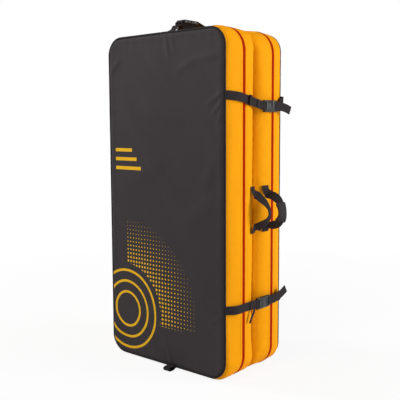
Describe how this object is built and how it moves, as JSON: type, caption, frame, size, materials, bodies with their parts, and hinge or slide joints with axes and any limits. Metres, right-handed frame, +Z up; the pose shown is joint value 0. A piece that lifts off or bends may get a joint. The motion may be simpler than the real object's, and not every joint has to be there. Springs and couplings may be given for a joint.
{
  "type": "bouldering crash pad",
  "caption": "Folding foam landing pad in a fabric cover, closed like a case and stood on its short side, with buckled webbing closures, carry handles and a back harness.",
  "frame": {"origin": "middle of the closed pad's footprint box, on the floor it stands on", "axes": "+Z up along the pad's height, +X towards the buckled edge and away from the fold hinge, -Y out of the front face, +Y out of the back face with the harness"},
  "size_m": [0.5614, 0.3382, 1.0417],
  "materials": {
    "dark_fabric": "coarse weave",
    "orange_fabric": "smooth coated weave",
    "red_zip_tape": "woven tape",
    "webbing": "flat webbing",
    "buckle_plastic": "satin moulding",
    "firm_foam": "closed-cell foam",
    "soft_foam": "open-cell foam",
    "slider_metal": "dark coating"
  },
  "bodies": {
    "front_pad": {"front_face_panel": "dark_fabric", "front_edge_binding": "dark_fabric", "front_outer_gusset": "orange_fabric", "front_zip": "red_zip_tape", "front_inner_gusset": "orange_fabric", "front_landing_panel": "dark_fabric", "front_landing_foam": "firm_foam", "front_foam_core": "soft_foam", "front_base_foam": "firm_foam", "front_hinge_leaf": "orange_fabric", "front_handle_top_tab": "webbing", "front_handle_bottom_tab": "webbing", "upper_closure_front_webbing": "webbing", "upper_closure_housing": "buckle_plastic", "lower_closure_front_webbing": "webbing", "lower_closure_housing": "buckle_plastic", "top_closure_front_webbing": "webbing", "top_closure_housing": "buckle_plastic", "bottom_grab_loop": "webbing"},
    "rear_pad": {"rear_face_panel": "dark_fabric", "rear_edge_binding": "dark_fabric", "rear_outer_gusset": "orange_fabric", "rear_zip": "red_zip_tape", "rear_inner_gusset": "orange_fabric", "rear_landing_panel": "dark_fabric", "rear_landing_foam": "firm_foam", "rear_foam_core": "soft_foam", "rear_base_foam": "firm_foam", "rear_hinge_leaf": "orange_fabric", "rear_handle_top_tab": "webbing", "rear_handle_bottom_tab": "webbing", "upper_closure_rear_webbing": "webbing", "lower_closure_rear_webbing": "webbing", "top_closure_rear_webbing": "webbing", "yoke_patch": "dark_fabric", "haul_loop": "webbing", "left_shoulder_strap": "dark_fabric", "left_ladder_lock": "buckle_plastic", "left_lower_webbing": "webbing", "right_shoulder_strap": "dark_fabric", "right_ladder_lock": "buckle_plastic", "right_lower_webbing": "webbing"},
    "front_handle": {"front_handle_webbing": "webbing"},
    "rear_handle": {"rear_handle_webbing": "webbing", "rear_handle_grip": "dark_fabric"},
    "upper_tongue": {"upper_closure_tongue": "buckle_plastic"},
    "lower_tongue": {"lower_closure_tongue": "buckle_plastic"},
    "top_tongue": {"top_closure_tongue": "buckle_plastic"},
    "front_slider": {"front_zip_slider": "slider_metal"},
    "front_pull": {"front_zip_pull": "slider_metal"},
    "rear_slider": {"rear_zip_slider": "slider_metal"},
    "rear_pull": {"rear_zip_pull": "slider_metal"},
    "left_wing": {"left_belt_wing": "dark_fabric", "belt_tongue": "buckle_plastic"},
    "right_wing": {"right_belt_wing": "dark_fabric", "belt_housing": "buckle_plastic"}
  },
  "joints": [
    {"name": "fold_hinge", "type": "hinge", "parent": "front_pad", "child": "rear_pad", "pos_m": [-0.28097, -0.00604, 0.506], "axis": [0, 0, 1], "range_deg": [0, 180]},
    {"name": "front_handle_swing", "type": "hinge", "parent": "front_pad", "child": "front_handle", "pos_m": [0.2207, -0.0229, 0.488], "axis": [0, 0, 1], "range_deg": [-55, 0]},
    {"name": "rear_handle_swing", "type": "hinge", "parent": "rear_pad", "child": "rear_handle", "pos_m": [0.22542, 0.02729, 0.488], "axis": [0, 0, 1], "range_deg": [0, 55]},
    {"name": "upper_tongue_slide", "type": "slide", "parent": "rear_pad", "child": "upper_tongue", "axis": [0, 1, 0], "range_m": [0, 0.028], "deforming": ["upper_closure_rear_webbing"]},
    {"name": "lower_tongue_slide", "type": "slide", "parent": "rear_pad", "child": "lower_tongue", "axis": [0, 1, 0], "range_m": [0, 0.028], "deforming": ["lower_closure_rear_webbing"]},
    {"name": "top_tongue_slide", "type": "slide", "parent": "rear_pad", "child": "top_tongue", "axis": [0, 1, 0], "range_m": [0, 0.028], "deforming": ["top_closure_rear_webbing"]},
    {"name": "front_slider_slide", "type": "slide", "parent": "front_pad", "child": "front_slider", "axis": [1, 0, 0], "range_m": [0, 0.13]},
    {"name": "front_pull_flip", "type": "hinge", "parent": "front_slider", "child": "front_pull", "pos_m": [-0.20037, -0.07504, 1.0155], "axis": [0, 1, 0], "range_deg": [0, 180]},
    {"name": "rear_slider_slide", "type": "slide", "parent": "rear_pad", "child": "rear_slider", "axis": [1, 0, 0], "range_m": [0, 0.13]},
    {"name": "rear_pull_flip", "type": "hinge", "parent": "rear_slider", "child": "rear_pull", "pos_m": [-0.20037, 0.06296, 1.0155], "axis": [0, 1, 0], "range_deg": [0, 180]},
    {"name": "left_wing_swing", "type": "hinge", "parent": "rear_pad", "child": "left_wing", "pos_m": [-0.07037, 0.13726, 0.19], "axis": [0, 0, -1], "range_deg": [0, 90]},
    {"name": "right_wing_swing", "type": "hinge", "parent": "rear_pad", "child": "right_wing", "pos_m": [-0.01037, 0.13726, 0.19], "axis": [0, 0, 1], "range_deg": [0, 90]}
  ]
}
